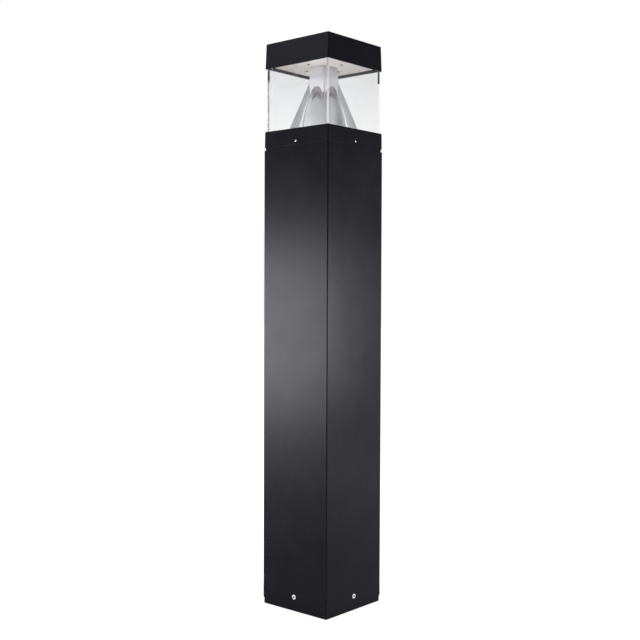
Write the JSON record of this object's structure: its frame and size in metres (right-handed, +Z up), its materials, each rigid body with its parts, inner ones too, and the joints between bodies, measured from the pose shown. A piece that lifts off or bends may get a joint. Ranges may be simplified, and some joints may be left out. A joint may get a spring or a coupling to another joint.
{
  "type": "bollard light",
  "caption": "Square black bollard light: a tube shaft on a cast base, with a lift-off head that has a clear lens round a mirror reflector under a flat cap.",
  "frame": {"origin": "middle of the underside of the base, where it stands on the ground", "axes": "+Z up along the shaft, X and Y square to its faces"},
  "size_m": [0.15, 0.15, 1],
  "materials": {
    "black_powder_coat": "fine-textured satin black powder coat",
    "cast_aluminium": "as cast",
    "stainless_steel": "fine machined",
    "mirror_aluminium": "bright anodised",
    "clear_polycarbonate": "clear gloss",
    "white_polycarbonate": "fine dotted light diffuser",
    "dark_plastic": "moulded satin",
    "orange_plastic": "moulded satin",
    "black_rubber": "soft matte",
    "board_white": "white solder mask",
    "green_wire": "smooth insulation",
    "galvanised_steel": "galvanised sheet"
  },
  "bodies": {
    "post": {"anchor_base": "cast_aluminium", "shaft_tube": "black_powder_coat", "base_screw_1": "stainless_steel", "base_screw_2": "stainless_steel", "base_screw_3": "stainless_steel", "base_screw_4": "stainless_steel", "gear_tray": "galvanised_steel", "tray_screw_1": "stainless_steel", "tray_screw_2": "stainless_steel", "led_driver": "cast_aluminium", "driver_screw_1": "stainless_steel", "driver_screw_2": "stainless_steel", "surge_protector": "orange_plastic", "terminal_block": "white_polycarbonate", "earth_screw": "stainless_steel", "earth_wire": "green_wire", "driver_input_lead": "dark_plastic", "surge_lead": "dark_plastic", "driver_output_lead": "dark_plastic", "head_adapter": "black_powder_coat", "lead_socket": "dark_plastic"},
    "head": {"collar": "black_powder_coat", "collar_set_screw_1": "stainless_steel", "collar_set_screw_2": "stainless_steel", "collar_set_screw_3": "stainless_steel", "collar_set_screw_4": "stainless_steel", "breather_vent": "dark_plastic", "lens_gasket_lower": "black_rubber", "clear_lens": "clear_polycarbonate", "lens_gasket_upper": "black_rubber", "centre_post": "mirror_aluminium", "reflector_cone": "mirror_aluminium", "cone_screw_1": "stainless_steel", "cone_screw_2": "stainless_steel", "cone_screw_3": "stainless_steel", "cone_screw_4": "stainless_steel", "reflector_fin_1": "mirror_aluminium", "reflector_fin_2": "mirror_aluminium", "reflector_fin_3": "mirror_aluminium", "reflector_fin_4": "mirror_aluminium", "led_cover_plate": "white_polycarbonate", "cover_screw_1": "stainless_steel", "cover_screw_2": "stainless_steel", "cover_screw_3": "stainless_steel", "cover_screw_4": "stainless_steel", "led_board": "board_white", "led_carrier": "cast_aluminium", "tie_rod": "stainless_steel", "tie_rod_washer": "stainless_steel", "tie_rod_nut": "stainless_steel", "led_lead": "dark_plastic", "lead_plug": "dark_plastic", "top_cap": "black_powder_coat"}
  },
  "joints": [
    {"name": "head_lift", "type": "slide", "parent": "post", "child": "head", "axis": [0, 0, 1], "range_m": [0, 0.06]}
  ]
}
